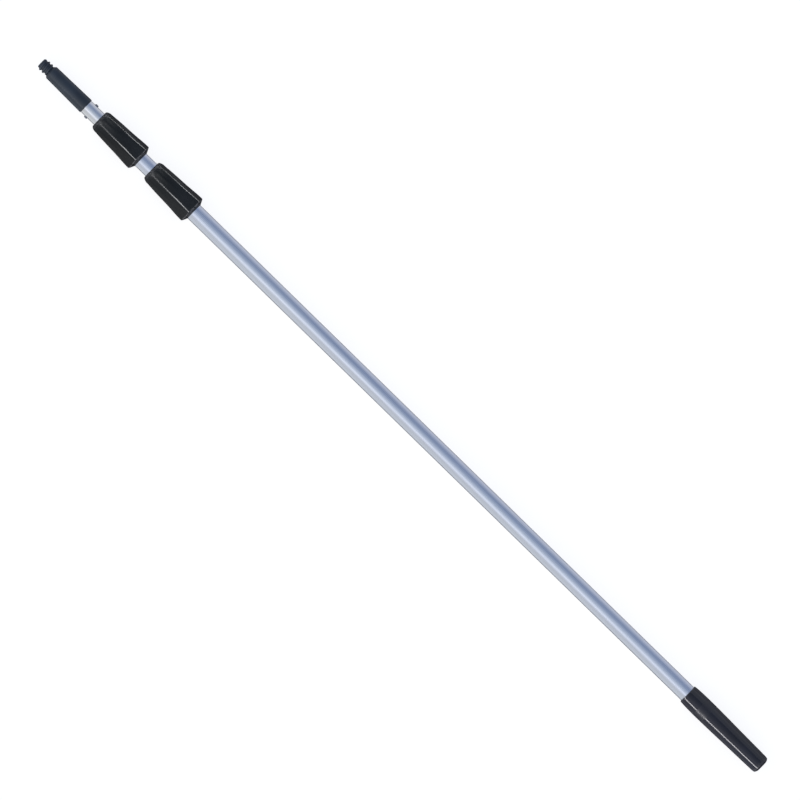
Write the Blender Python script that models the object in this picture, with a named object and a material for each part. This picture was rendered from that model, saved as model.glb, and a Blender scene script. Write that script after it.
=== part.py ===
"""Telescopic window cleaning pole: three tubes, two twist clamps, a tool cone with snap buttons and a grip.

The pole lies along X with its tip towards -X, and rests on one flat of the lower collar at Z = 0.
Pieces are modelled standing on a station line: Z is the distance from the nose of the tip, in metres, and
one empty lays the whole line down along X.
"""

import math

import bmesh
import bpy
from mathutils import Quaternion, Vector

MM = 0.001

# Overall
POLE_LENGTH = 1515 * MM
SIDES = 48  # facets round a visible turned piece
HIDDEN_SIDES = 32  # facets round a piece inside a clamp or a tube
PIN_SIDES = 12
HELIX_SIDES = 24
CLEARANCE = 0.25 * MM  # between pieces that slide, turn or touch

# Tubes: outside radius and wall
OUTER_R = 13.75 * MM
MIDDLE_R = 12.55 * MM
INNER_R = 11.4 * MM
OUTER_WALL = 0.9 * MM
MIDDLE_WALL = 0.9 * MM
INNER_WALL = 1.0 * MM

# Stations along the pole, from the nose
CONE_START = 21.5 * MM
CONE_END = 94.1 * MM
BUTTON_AT = 105.2 * MM
UPPER_COLLAR_AT = 122.1 * MM
LOWER_COLLAR_AT = 231.5 * MM
GRIP_AT = 1358.7 * MM
OUTER_TUBE_END = 1502 * MM

# Plugs in the tubes' lower ends: each sliding tube rests on the plug below it
FACE_GAP = 0.3 * MM
BUMPER_PLUG = 26 * MM
BUSH_PLUG = 20 * MM
BUSH_FLANGE = 9 * MM
BUSH_BORE_R = 6 * MM
BUSH_PIN_R = 1.0 * MM
BUSH_PIN_HOLE_R = BUSH_PIN_R + CLEARANCE
BUSH_PIN_DEPTH = 2.7 * MM  # how far a pin reaches into the plug
MIDDLE_TUBE_END = OUTER_TUBE_END - BUMPER_PLUG - BUSH_FLANGE - 2 * FACE_GAP
INNER_TUBE_END = MIDDLE_TUBE_END - BUSH_PLUG - BUSH_FLANGE - 2 * FACE_GAP

# Threaded nose and tool cone
NOSE_CREST_R = 9.4 * MM
NOSE_ROOT_R = 7.7 * MM
NOSE_PITCH = 5.9 * MM
NOSE_THREAD_AT = 2.4 * MM
NOSE_TURNS = 2.6
CONE_TOP_R = 11.2 * MM
CONE_BOTTOM_R = 12.35 * MM
CONE_CHAMFER = 3.4 * MM  # length of the slope from the nose up to the cone
SPIGOT_END = 147 * MM
SPIGOT_SLOT_WIDTH = 8.4 * MM
SPIGOT_SLOT_AT = CONE_END + 4 * MM
SPIGOT_SLOT_END = 142 * MM

# Snap buttons, each on an arm of a spring inside the tube
BUTTON_LINE_ANGLE = math.radians(15)  # their shared line stands this far off level
BUTTON_R = 2.85 * MM
BUTTON_PROUD = 2.3 * MM
BUTTON_DOME = 1.1 * MM
BUTTON_FOOT_AT = 8.4 * MM  # distance of a button's foot from the pole's axis
BUTTON_FOOT_R = 3.7 * MM
BUTTON_FOOT_HEIGHT = 0.9 * MM
BUTTON_SIDES = 20
SPRING_THICKNESS = 0.5 * MM
SPRING_WIDTH = 6.4 * MM

# Clamp collar, at the size of the upper one; the lower one is a little larger
LOWER_COLLAR_SCALE = 1.0275
COLLAR_LENGTH = 87.2 * MM
COLLAR_RIM_R = 21.7 * MM
COLLAR_CORNER_R = 6 * MM  # rounding of the hexagon's corners at the wide end
COLLAR_NOSE = ((13.9, 0), (14.9, 0.7), (15.9, 2.4), (16.8, 5))  # radius and station, rounding the narrow face
COLLAR_BODY = ((17.6, 9.5), (18.45, 22), (19.2, 36), (19.7, 50), (20.3, 59), (21.0, 67), (21.5, 76))
FACE_TURN = math.radians(15)  # between a corner and the direction in which the half-widths are given
DOME_SLOPE = math.tan(math.radians(25))
DOME_TOP_R = 12.9 * MM  # the dome reaches the collar's full length at this radius

# Clamp thread and the parts inside the collar, as stations from the collar's narrow face
THREAD_LEAD = 4 * MM
THREAD_TURNS = 3
THREAD_HEIGHT = 0.75 * MM
THREAD_AT = 34 * MM
LIP_END = 4.6 * MM
RING_AT = 5 * MM
RING_END = 14 * MM
COLLET_AT = 6.5 * MM
COLLET_CONE_END = 17 * MM
COLLET_END = 21 * MM
COLLET_SLOTS = 6
SLEEVE_AT = 21.3 * MM
SLEEVE_LIP_END = 24.3 * MM
FLANGE_AT = 77 * MM
RIVET_AT = 62 * MM
CONE_SLOPE = 0.139  # radius gained per length on the collet and in the thrust ring
COLLET_SLOT_LENGTH = 9 * MM
COLLET_SLOT_WIDTH = 1.2 * MM
SLEEVE_WALL = 1.55 * MM
FLANGE_RISE = 1.1 * MM
REAR_BORE_DEPTH = 4 * MM  # how far the collar's rear bore runs in past the flange
RIVET_R = 1.35 * MM
RIVET_HOLE_R = RIVET_R + CLEARANCE

# Grip: half-width and distance from its top edge, with a soft belly and a long taper
GRIP_SHAPE = (
    (15.5, 0),
    (16.1, 9),
    (16.45, 18),
    (16.6, 30),
    (16.45, 46),
    (16.0, 70),
    (15.35, 100),
    (14.9, 126),
    (14.45, 148.5),
)

BLACK = (0.012, 0.013, 0.017, 1)
ANODISED = (0.55, 0.6, 0.7, 1)


def material(name, color, roughness, metallic=0.0):
    made = bpy.data.materials.new(name)
    made.use_nodes = True
    shader = made.node_tree.nodes["Principled BSDF"]
    shader.inputs["Base Color"].default_value = color
    shader.inputs["Roughness"].default_value = roughness
    shader.inputs["Metallic"].default_value = metallic
    return made


def circle(radius, z, sides):
    return [
        Vector((radius * math.cos(a), radius * math.sin(a), z))
        for a in (2 * math.pi * k / sides for k in range(sides))
    ]


def arc(center_r, center_z, radius, start, end, steps):
    """Points (r, z) on an arc, with the angles in degrees and 0 pointing outwards."""
    angles = [math.radians(start + (end - start) * k / steps) for k in range(steps + 1)]
    return [(center_r + radius * math.cos(a), center_z + radius * math.sin(a)) for a in angles]


def add_object(name, bm, finish, parent):
    bmesh.ops.recalc_face_normals(bm, faces=bm.faces)
    mesh = bpy.data.meshes.new(name)
    bm.to_mesh(mesh)
    bm.free()
    mesh.shade_smooth()
    mesh.set_sharp_from_angle(angle=math.radians(35))
    if finish:
        mesh.materials.append(finish)
    made = bpy.data.objects.new(name, mesh)
    bpy.context.collection.objects.link(made)
    made.parent = parent
    return made


def skin(name, rings, finish, parent, closed):
    """A surface over rings of equal point counts. Closed runs on from the last ring to the first."""
    bm = bmesh.new()
    rows = [[bm.verts.new(point) for point in ring] for ring in rings]
    pairs = list(zip(rows, rows[1:] + rows[:1])) if closed else list(zip(rows, rows[1:]))
    for low, high in pairs:
        for k in range(len(low)):
            after = (k + 1) % len(low)
            bm.faces.new((low[k], low[after], high[after], high[k]))
    if not closed:
        bm.faces.new(rows[0])
        bm.faces.new(rows[-1])
    return add_object(name, bm, finish, parent)


def turned(name, outline, finish, parent, sides=SIDES, closed=True):
    """A turned piece from (radius, station) points: closed round a bore, or open with flat end faces."""
    return skin(name, [circle(r, z, sides) for r, z in outline], finish, parent, closed)


def helix(name, root_r, crest_r, start, lead, turns, root_width, crest_width, parent):
    """A right-handed ridge along turns (first, last), whose middle passes start at angle 0.

    Its inner edge lies inside the piece that it joins, and it runs out at both ends.
    """
    first, last = turns
    count = round((last - first) * HELIX_SIDES)
    run_out = HELIX_SIDES // 6
    sections = []
    for k in range(count + 1):
        rise = min(1, k / run_out, (count - k) / run_out)
        crest = root_r + (crest_r - root_r) * max(rise, 0.25)
        turn = first + k / HELIX_SIDES
        angle = 2 * math.pi * turn
        middle = start + lead * turn
        sections.append(
            [
                Vector((r * math.cos(angle), r * math.sin(angle), middle + half))
                for r, half in (
                    (root_r, -root_width / 2),
                    (crest, -crest_width / 2),
                    (crest, crest_width / 2),
                    (root_r, root_width / 2),
                )
            ]
        )
    return skin(name, sections, None, parent, closed=False)


def cylinder(name, radius, low, high, place, direction, parent, sides=PIN_SIDES, finish=None):
    """A plain pin whose own axis runs from low to high along direction, from place."""
    made = turned(name, [(radius, low), (radius, high)], finish, parent, sides, closed=False)
    made.location = place
    made.rotation_mode = "QUATERNION"
    made.rotation_quaternion = Vector((0, 0, 1)).rotation_difference(direction)
    return made


def block(name, size, place, angle, parent):
    """A cutting block with its width along X, depth along Y and height along Z, turned about Z."""
    bm = bmesh.new()
    bmesh.ops.create_cube(bm, size=1)
    bmesh.ops.scale(bm, vec=size, verts=bm.verts)
    made = add_object(name, bm, None, parent)
    made.location = place
    made.rotation_euler = (0, 0, angle)
    return made


def combine(target, tool, operation):
    """A Boolean with a hidden tool."""
    tool.hide_render = True
    tool.display_type = "WIRE"
    modifier = target.modifiers.new(tool.name, "BOOLEAN")
    modifier.operation = operation
    modifier.solver = "EXACT"
    modifier.object = tool


def drill(target, name, radius, station, angle, depth, parent):
    """A round hole square to the pole's axis, from just off the axis outwards."""
    direction = Vector((math.cos(angle), math.sin(angle), 0))
    tool = cylinder(name, radius, depth[0], depth[1], (0, 0, station), direction, parent)
    combine(target, tool, "DIFFERENCE")


def hexagon_ring(half_width, corner_r, height):
    """A hexagon with rounded corners, the first at angle 0, and nothing but a flat between them.

    height gives a point's Z from its radius.
    """
    center = (half_width - corner_r) / math.cos(FACE_TURN)
    steps = SIDES // 6
    points = []
    for k in range(SIDES):
        corner = math.pi / 3 * (k // steps)
        turn = corner + math.pi / 3 * ((k % steps + 0.5) / steps - 0.5)
        x = center * math.cos(corner) + corner_r * math.cos(turn)
        y = center * math.sin(corner) + corner_r * math.sin(turn)
        points.append(Vector((x, y, height(math.hypot(x, y)))))
    return points


def round_ring(radius, z):
    """A circle whose points match those of hexagon_ring."""
    return hexagon_ring(radius, radius, lambda _: z)


# --- Tubes ----------------------------------------------------------------------------------------


def tube(name, start, end, radius, wall, finish, parent):
    outline = [(radius, start), (radius, end), (radius - wall, end), (radius - wall, start)]
    return turned(name, outline, finish, parent)


def guide_bush(prefix, tube_end, tube_r, wall, bore_r, tube_body, finish, steel, parent):
    """A plug pinned into the end of a sliding tube, with a flange that runs in the larger tube's bore."""
    plug_r = tube_r - wall - CLEARANCE
    flange_r = bore_r - CLEARANCE * 0.6
    plug_start = tube_end - BUSH_PLUG
    flange_start = tube_end + FACE_GAP
    flange_end = flange_start + BUSH_FLANGE
    outline = [
        (plug_r, plug_start),
        (plug_r, flange_start),
        (flange_r, flange_start),
        (flange_r, flange_end),
        (BUSH_BORE_R, flange_end),
        (BUSH_BORE_R, plug_start),
    ]
    bush = turned(f"{prefix}_guide_bush", outline, finish, parent, HIDDEN_SIDES)
    for side, angle in (("a", 0), ("b", math.pi)):
        station = tube_end - BUSH_PLUG / 2
        hole = (plug_r - BUSH_PIN_DEPTH - FACE_GAP, tube_r + MM)
        drill(bush, f"{prefix}_bush_hole_{side}", BUSH_PIN_HOLE_R, station, angle, hole, parent)
        drill(tube_body, f"{prefix}_tube_hole_{side}", BUSH_PIN_HOLE_R, station, angle, hole, parent)
        direction = Vector((math.cos(angle), math.sin(angle), 0))
        cylinder(
            f"{prefix}_bush_pin_{side}",
            BUSH_PIN_R,
            plug_r - BUSH_PIN_DEPTH,
            tube_r - 0.1 * MM,
            (0, 0, station),
            direction,
            parent,
            finish=steel,
        )
    return bush


# --- Twist clamp ----------------------------------------------------------------------------------


def clamp(prefix, start, scale, tube_r, slide_r, tube_body, finishes, parent):
    """One clamp on the mouth of a tube of radius tube_r, which grips a tube of radius slide_r."""
    plastic, collar_finish, ring_finish, steel = finishes
    sleeve_r = tube_r + CLEARANCE + SLEEVE_WALL
    bore_r = sleeve_r + 0.3 * MM
    flange_r = sleeve_r + FLANGE_RISE
    rear_bore_r = flange_r + CLEARANCE
    seat_r = slide_r + 0.95 * MM  # the thrust ring's cone at its tip end
    ring_r = bore_r - CLEARANCE
    apex = start + COLLAR_LENGTH * scale + DOME_TOP_R * DOME_SLOPE

    def dome(radius):
        return apex - radius * DOME_SLOPE

    # Thrust ring: plain outside, conical inside
    turned(
        f"{prefix}_thrust_ring",
        [
            (ring_r, start + RING_AT),
            (ring_r, start + RING_END),
            (seat_r + CONE_SLOPE * (RING_END - RING_AT), start + RING_END),
            (seat_r, start + RING_AT),
        ],
        ring_finish,
        parent,
        HIDDEN_SIDES,
    )

    # Collet: a cone slit from its tip end into fingers, on a solid foot
    cone_r = seat_r - CLEARANCE + CONE_SLOPE * (COLLET_AT - RING_AT)
    foot_r = cone_r + CONE_SLOPE * (COLLET_CONE_END - COLLET_AT)
    collet_bore = slide_r + 0.2 * MM
    collet = turned(
        f"{prefix}_collet",
        [
            (cone_r, start + COLLET_AT),
            (foot_r, start + COLLET_CONE_END),
            (foot_r, start + COLLET_END),
            (collet_bore, start + COLLET_END),
            (collet_bore, start + COLLET_AT),
        ],
        ring_finish,
        parent,
        HIDDEN_SIDES,
    )
    slot_size = (6 * MM, COLLET_SLOT_WIDTH, COLLET_SLOT_LENGTH + 2 * MM)
    for k in range(COLLET_SLOTS):
        angle = 2 * math.pi * (k + 0.5) / COLLET_SLOTS
        place = Vector((math.cos(angle), math.sin(angle), 0)) * (collet_bore + MM)
        place.z = start + COLLET_AT + COLLET_SLOT_LENGTH / 2 - MM
        slot = block(f"{prefix}_collet_slot_{k}", slot_size, place, angle, parent)
        combine(collet, slot, "DIFFERENCE")

    # Sleeve: fits over the tube's mouth, with a stop lip, an outside thread and a rear flange
    lip_r = slide_r + CLEARANCE
    grip_bore = tube_r + CLEARANCE
    sleeve = turned(
        f"{prefix}_clamp_sleeve",
        [
            (sleeve_r - 0.6 * MM, start + SLEEVE_AT),
            (sleeve_r, start + SLEEVE_AT + 0.8 * MM),
            (sleeve_r, start + FLANGE_AT * scale),
            (flange_r, start + FLANGE_AT * scale + MM),
            (flange_r, dome(flange_r)),
            (grip_bore, dome(grip_bore)),
            (grip_bore, start + SLEEVE_LIP_END),
            (lip_r, start + SLEEVE_LIP_END),
            (lip_r, start + SLEEVE_AT),
        ],
        plastic,
        parent,
        HIDDEN_SIDES,
    )
    thread_at = start + THREAD_AT
    ridge = helix(
        f"{prefix}_sleeve_thread",
        sleeve_r - 0.4 * MM,
        sleeve_r + THREAD_HEIGHT,
        thread_at,
        THREAD_LEAD,
        (0, THREAD_TURNS),
        2.4 * MM,
        MM,
        parent,
    )
    combine(sleeve, ridge, "UNION")

    for side, angle in (("a", 0), ("b", math.pi)):
        station = start + RIVET_AT
        direction = Vector((math.cos(angle), math.sin(angle), 0))
        hole = (slide_r - MM, sleeve_r + MM)
        drill(sleeve, f"{prefix}_sleeve_hole_{side}", RIVET_HOLE_R, station, angle, hole, parent)
        drill(tube_body, f"{prefix}_mouth_hole_{side}", RIVET_HOLE_R, station, angle, hole, parent)
        cylinder(
            f"{prefix}_sleeve_rivet_{side}",
            RIVET_R,
            tube_r - 0.85 * MM,
            sleeve_r - 0.1 * MM,
            (0, 0, station),
            direction,
            parent,
            finish=steel,
        )

    # Collar: round at the narrow face, a rounded hexagon at the wide end, with a domed end
    round_end = COLLAR_BODY[0][1] * MM
    rim_station = COLLAR_LENGTH - (COLLAR_RIM_R - DOME_TOP_R) * DOME_SLOPE
    rings = [round_ring(r * scale * MM, start + z * MM) for r, z in COLLAR_NOSE]
    for half, z in COLLAR_BODY:
        station = z * MM
        hexness = (station - round_end) / (rim_station - round_end)
        half_width = half * scale * MM
        corner_r = half_width * (1 - hexness) + COLLAR_CORNER_R * hexness
        rings.append(hexagon_ring(half_width, corner_r, lambda radius: start + station * scale))
    rim_r = COLLAR_RIM_R * scale
    rings.append(hexagon_ring(rim_r, COLLAR_CORNER_R, lambda radius: dome(radius) - 1.4 * MM))
    rings.append(hexagon_ring(rim_r - 0.7 * MM, COLLAR_CORNER_R - 0.5 * MM, dome))
    rear_bore_end = start + (FLANGE_AT - REAR_BORE_DEPTH) * scale
    rings.append(round_ring(rear_bore_r, dome(rear_bore_r)))
    rings.append(round_ring(rear_bore_r, rear_bore_end))
    rings.append(round_ring(bore_r, rear_bore_end - MM))
    rings.append(round_ring(bore_r, start + LIP_END))
    rings.append(round_ring(slide_r + 0.4 * MM, start + LIP_END))
    rings.append(round_ring(slide_r + 0.4 * MM, start))
    collar = skin(f"{prefix}_clamp_collar", rings, collar_finish, parent, closed=True)
    groove = helix(
        f"{prefix}_collar_thread",
        sleeve_r - 0.1 * MM,
        sleeve_r + THREAD_HEIGHT + 0.35 * MM,
        thread_at,
        THREAD_LEAD,
        (-0.25, THREAD_TURNS + 0.75),
        2.9 * MM,
        1.7 * MM,
        parent,
    )
    combine(collar, groove, "DIFFERENCE")
    return collar


# --- Tip ------------------------------------------------------------------------------------------


def tip(tube_body, plastic, steel, parent):
    spigot_r = INNER_R - INNER_WALL - CLEARANCE
    outline = [
        (NOSE_ROOT_R - 1.3 * MM, 0),
        (NOSE_ROOT_R, 1.3 * MM),
        (NOSE_ROOT_R, CONE_START - CONE_CHAMFER),
        (CONE_TOP_R, CONE_START),
        (CONE_BOTTOM_R, CONE_END - 0.3 * MM),
        (CONE_BOTTOM_R - 0.3 * MM, CONE_END),
        (spigot_r, CONE_END),
        (spigot_r, SPIGOT_END - MM),
        (spigot_r - MM, SPIGOT_END),
    ]
    cone = turned("tip_cone", outline, plastic, parent, closed=False)
    thread = helix(
        "nose_thread",
        NOSE_ROOT_R - 0.5 * MM,
        NOSE_CREST_R,
        NOSE_THREAD_AT,
        NOSE_PITCH,
        (0, NOSE_TURNS),
        4.6 * MM,
        1.9 * MM,
        parent,
    )
    combine(cone, thread, "UNION")
    slot = block(
        "spigot_slot",
        (4 * spigot_r, SPIGOT_SLOT_WIDTH, SPIGOT_SLOT_END - SPIGOT_SLOT_AT),
        (0, 0, (SPIGOT_SLOT_END + SPIGOT_SLOT_AT) / 2),
        BUTTON_LINE_ANGLE,
        parent,
    )
    combine(cone, slot, "DIFFERENCE")

    # Buttons: a flanged foot inside the tube and a domed head through its wall
    head = INNER_R + BUTTON_PROUD
    outline = [
        (BUTTON_FOOT_R, BUTTON_FOOT_AT),
        (BUTTON_FOOT_R, BUTTON_FOOT_AT + BUTTON_FOOT_HEIGHT),
        (BUTTON_R, BUTTON_FOOT_AT + BUTTON_FOOT_HEIGHT),
        (BUTTON_R, head - BUTTON_DOME),
        (BUTTON_R * 0.86, head - BUTTON_DOME * 0.5),
        (BUTTON_R * 0.55, head - BUTTON_DOME * 0.15),
        (BUTTON_R * 0.2, head),
    ]
    place = (0, 0, BUTTON_AT)
    hole_r = BUTTON_R + CLEARANCE
    for side, angle in (("a", BUTTON_LINE_ANGLE), ("b", BUTTON_LINE_ANGLE + math.pi)):
        direction = Vector((math.cos(angle), math.sin(angle), 0))
        low, high = INNER_R - 3 * MM, INNER_R + 3 * MM
        tool = cylinder(f"button_hole_{side}", hole_r, low, high, place, direction, parent, BUTTON_SIDES)
        combine(tube_body, tool, "DIFFERENCE")
        button = turned(f"snap_button_{side}", outline, steel, parent, BUTTON_SIDES, closed=False)
        button.location = place
        button.rotation_mode = "QUATERNION"
        button.rotation_quaternion = Vector((0, 0, 1)).rotation_difference(direction)

    # Leaf spring: a V of one strip, with a button on each arm
    arm = BUTTON_FOOT_AT - FACE_GAP
    top = BUTTON_AT - 5 * MM
    knee = BUTTON_AT + 6 * MM
    bend = SPIGOT_SLOT_END - 3 * MM
    outside = [(arm, top), (arm, knee), (1.6 * MM, bend), (0, bend + 1.4 * MM)]
    outside += [(-x, z) for x, z in reversed(outside[:3])]
    inside = [(arm - SPRING_THICKNESS, top), (arm - SPRING_THICKNESS, knee)]
    inside += [(1.1 * MM, bend - 0.3 * MM), (0, bend + 0.8 * MM)]
    inside += [(-x, z) for x, z in reversed(inside[:3])]
    bm = bmesh.new()
    face = bm.faces.new([bm.verts.new((x, -SPRING_WIDTH / 2, z)) for x, z in outside + inside[::-1]])
    moved = bmesh.ops.extrude_face_region(bm, geom=[face])
    verts = [v for v in moved["geom"] if isinstance(v, bmesh.types.BMVert)]
    bmesh.ops.translate(bm, vec=(0, SPRING_WIDTH, 0), verts=verts)
    spring = add_object("button_spring", bm, steel, parent)
    spring.rotation_euler = (0, 0, BUTTON_LINE_ANGLE)


# --- Handle end -----------------------------------------------------------------------------------


def handle(plastic, rubber, parent):
    bore_r = OUTER_R + CLEARANCE
    floor = OUTER_TUBE_END + 4 * MM
    outline = [(half * MM, GRIP_AT + z * MM) for half, z in GRIP_SHAPE]
    outline += arc(11.6 * MM, POLE_LENGTH - 4.3 * MM, 2.8 * MM, 0, 60, 3)
    outline.append((8 * MM, POLE_LENGTH))
    grip = turned("handle_grip", outline, plastic, parent, closed=False)
    bore = turned("grip_bore", [(bore_r, GRIP_AT - 5 * MM), (bore_r, floor)], None, parent, closed=False)
    combine(grip, bore, "DIFFERENCE")

    plug_r = OUTER_R - OUTER_WALL - CLEARANCE
    flange = OUTER_TUBE_END + FACE_GAP
    turned(
        "end_bumper",
        [
            (plug_r - 1.5 * MM, OUTER_TUBE_END - BUMPER_PLUG),
            (plug_r, OUTER_TUBE_END - BUMPER_PLUG + 2 * MM),
            (plug_r, flange),
            (OUTER_R, flange),
            (OUTER_R, flange + 3 * MM),
        ],
        rubber,
        parent,
        HIDDEN_SIDES,
        closed=False,
    )


def main():
    for old in list(bpy.data.objects):
        bpy.data.objects.remove(old)

    anodised = material("anodised_tube", ANODISED, 0.32, 1.0)
    anodised_inner = material("anodised_inner_tube", (0.62, 0.66, 0.72, 1), 0.3, 1.0)
    cone_plastic = material("cone_plastic", BLACK, 0.5)
    grip_plastic = material("grip_plastic", BLACK, 0.4)
    collar_plastic = material("collar_plastic", BLACK, 0.3)
    sleeve_plastic = material("sleeve_plastic", (0.02, 0.02, 0.022, 1), 0.5)
    ring_plastic = material("ring_plastic", (0.5, 0.5, 0.48, 1), 0.5)
    rubber = material("bumper_rubber", (0.02, 0.02, 0.02, 1), 0.8)
    steel = material("spring_steel", (0.25, 0.26, 0.28, 1), 0.35, 1.0)

    # The lower collar's flat rests at Z = 0, so the axis stands at the wide end's apothem
    rim_r = COLLAR_RIM_R * LOWER_COLLAR_SCALE
    corner_center = (rim_r - COLLAR_CORNER_R) / math.cos(FACE_TURN)
    axis_height = corner_center * math.cos(math.pi / 6) + COLLAR_CORNER_R
    line = bpy.data.objects.new("pole_axis", None)
    bpy.context.collection.objects.link(line)
    line.location = (-POLE_LENGTH / 2, 0, axis_height)
    line.rotation_mode = "QUATERNION"
    line.rotation_quaternion = Quaternion((1, 1, 1), math.radians(120))

    upper_mouth = UPPER_COLLAR_AT + SLEEVE_LIP_END + FACE_GAP
    lower_mouth = LOWER_COLLAR_AT + SLEEVE_LIP_END + FACE_GAP
    outer = tube("outer_tube", lower_mouth, OUTER_TUBE_END, OUTER_R, OUTER_WALL, anodised, line)
    middle = tube("middle_tube", upper_mouth, MIDDLE_TUBE_END, MIDDLE_R, MIDDLE_WALL, anodised, line)
    inner_start = CONE_END + FACE_GAP
    inner = tube("inner_tube", inner_start, INNER_TUBE_END, INNER_R, INNER_WALL, anodised_inner, line)

    outer_bore = OUTER_R - OUTER_WALL
    middle_bore = MIDDLE_R - MIDDLE_WALL
    bush = (ring_plastic, steel, line)
    guide_bush("middle", MIDDLE_TUBE_END, MIDDLE_R, MIDDLE_WALL, outer_bore, middle, *bush)
    guide_bush("inner", INNER_TUBE_END, INNER_R, INNER_WALL, middle_bore, inner, *bush)

    finishes = (sleeve_plastic, collar_plastic, ring_plastic, steel)
    clamp("upper", UPPER_COLLAR_AT, 1.0, MIDDLE_R, INNER_R, middle, finishes, line)
    clamp("lower", LOWER_COLLAR_AT, LOWER_COLLAR_SCALE, OUTER_R, MIDDLE_R, outer, finishes, line)
    tip(inner, cone_plastic, steel, line)
    handle(grip_plastic, rubber, line)


main()
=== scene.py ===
"""The finished look of the telescopic window cleaning pole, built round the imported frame.

The pole lies along X. Pieces are worked out on a station line: station is the distance from the nose of the
tip, and an angle of 0 points along +Y, a quarter turn along +Z.
"""

import math

import bmesh
import bpy
from mathutils import Matrix, Vector


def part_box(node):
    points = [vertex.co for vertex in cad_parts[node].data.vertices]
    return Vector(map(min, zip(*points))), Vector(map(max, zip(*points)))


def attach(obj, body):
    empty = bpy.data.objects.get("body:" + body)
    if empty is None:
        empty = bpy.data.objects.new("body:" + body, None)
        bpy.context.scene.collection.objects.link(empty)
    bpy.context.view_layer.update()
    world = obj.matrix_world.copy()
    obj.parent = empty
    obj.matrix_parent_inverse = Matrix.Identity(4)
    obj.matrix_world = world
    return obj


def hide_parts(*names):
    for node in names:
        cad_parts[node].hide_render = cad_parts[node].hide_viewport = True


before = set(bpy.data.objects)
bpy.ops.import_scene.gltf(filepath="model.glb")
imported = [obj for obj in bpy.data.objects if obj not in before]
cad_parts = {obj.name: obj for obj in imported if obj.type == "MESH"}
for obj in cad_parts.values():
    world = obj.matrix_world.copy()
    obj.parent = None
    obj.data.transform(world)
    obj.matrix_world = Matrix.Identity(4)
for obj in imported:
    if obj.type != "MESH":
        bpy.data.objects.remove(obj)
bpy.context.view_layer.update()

MM = 0.001
ROUND = 160  # facets round a visible piece
FINE = 64  # facets round a small or hidden piece

# The frame's own dimensions, in metres
NOSE_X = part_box("tip_cone")[0].x
AXIS_Z = (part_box("handle_grip")[0].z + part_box("handle_grip")[1].z) / 2


def station_of(x):
    return x - NOSE_X


def span(node):
    """First and last station of a CAD node."""
    low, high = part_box(node)
    return station_of(low.x), station_of(high.x)


def radius_of(node):
    """A round node's outside radius."""
    low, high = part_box(node)
    return (high.y - low.y) / 2


POLE_LENGTH = span("handle_grip")[1]
OUTER_R = radius_of("outer_tube")
MIDDLE_R = radius_of("middle_tube")
INNER_R = radius_of("inner_tube")
OUTER_WALL = 0.9 * MM
MIDDLE_WALL = 0.9 * MM
INNER_WALL = 1.0 * MM

# ---------------------------------------------------------------------------------------------------------
# Mesh making
# ---------------------------------------------------------------------------------------------------------


def at(station, angle, radius):
    """The world point at a station, an angle about the pole's axis and a radius."""
    return Vector((NOSE_X + station, radius * math.cos(angle), AXIS_Z + radius * math.sin(angle)))


def finish_mesh(name, bm, body, nodes, surface, sharp):
    bmesh.ops.recalc_face_normals(bm, faces=bm.faces)
    mesh = bpy.data.meshes.new(name)
    bm.to_mesh(mesh)
    bm.free()
    mesh.shade_smooth()
    mesh.set_sharp_from_angle(angle=math.radians(sharp))
    mesh.materials.append(surface)
    made = bpy.data.objects.new(name, mesh)
    bpy.context.collection.objects.link(made)
    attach(made, body)
    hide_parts(*nodes)
    return made


def skin(name, rings, wear, body, nodes, surface, closed=True, sharp=30, matt=None):
    """A surface over rings of equal point counts.

    wear gives each ring's share of edge wear, 0 to 1, and matt its share of the surface's matt texture.
    """
    bm = bmesh.new()
    wear_layer = bm.verts.layers.float.new("wear")
    matt_layer = bm.verts.layers.float.new("matt")
    rows = []
    for ring, worn, dull in zip(rings, wear, matt or [0.0] * len(rings)):
        row = [bm.verts.new(point) for point in ring]
        for vert in row:
            vert[wear_layer] = worn
            vert[matt_layer] = dull
        rows.append(row)
    pairs = zip(rows, rows[1:] + rows[:1]) if closed else zip(rows, rows[1:])
    for low, high in pairs:
        for k in range(len(low)):
            after = (k + 1) % len(low)
            bm.faces.new((low[k], low[after], high[after], high[k]))
    if not closed:
        bm.faces.new(rows[0])
        bm.faces.new(rows[-1])
    return finish_mesh(name, bm, body, nodes, surface, sharp)


def turned(name, outline, body, nodes, surface):
    """A turned piece from (radius, station, wear) points."""
    rings = [[at(z, 2 * math.pi * k / ROUND, r) for k in range(ROUND)] for r, z, _ in outline]
    return skin(name, rings, [w for _, _, w in outline], body, nodes, surface)


def smoothstep(low, high, value):
    share = min(1.0, max(0.0, (value - low) / (high - low)))
    return share * share * (3 - 2 * share)


def through(points, value):
    """A smooth curve through (x, y) points, read at value: cubic pieces whose slopes don't overshoot."""
    xs = [x for x, _ in points]
    ys = [y for _, y in points]
    steps = [(ys[k + 1] - ys[k]) / (xs[k + 1] - xs[k]) for k in range(len(xs) - 1)]
    slopes = [steps[0]]
    for before, after in zip(steps, steps[1:]):
        slopes.append(2 * before * after / (before + after) if before * after > 0 else 0.0)
    slopes.append(steps[-1])
    value = min(max(value, xs[0]), xs[-1])
    k = max(i for i in range(len(xs) - 1) if xs[i] <= value)
    width = xs[k + 1] - xs[k]
    t = (value - xs[k]) / width
    first = (1 + 2 * t) * (1 - t) ** 2 * ys[k] + t * (1 - t) ** 2 * width * slopes[k]
    second = t * t * (3 - 2 * t) * ys[k + 1] + t * t * (t - 1) * width * slopes[k + 1]
    return first + second


def arc(center_r, center_z, radius, start, end, steps, worn=1.0):
    """(radius, station, wear) points on a rounded edge, angles in degrees, 0 pointing outwards."""
    made = []
    for k in range(steps + 1):
        a = math.radians(start + (end - start) * k / steps)
        made.append((center_r + radius * math.cos(a), center_z + radius * math.sin(a), worn))
    return made


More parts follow.
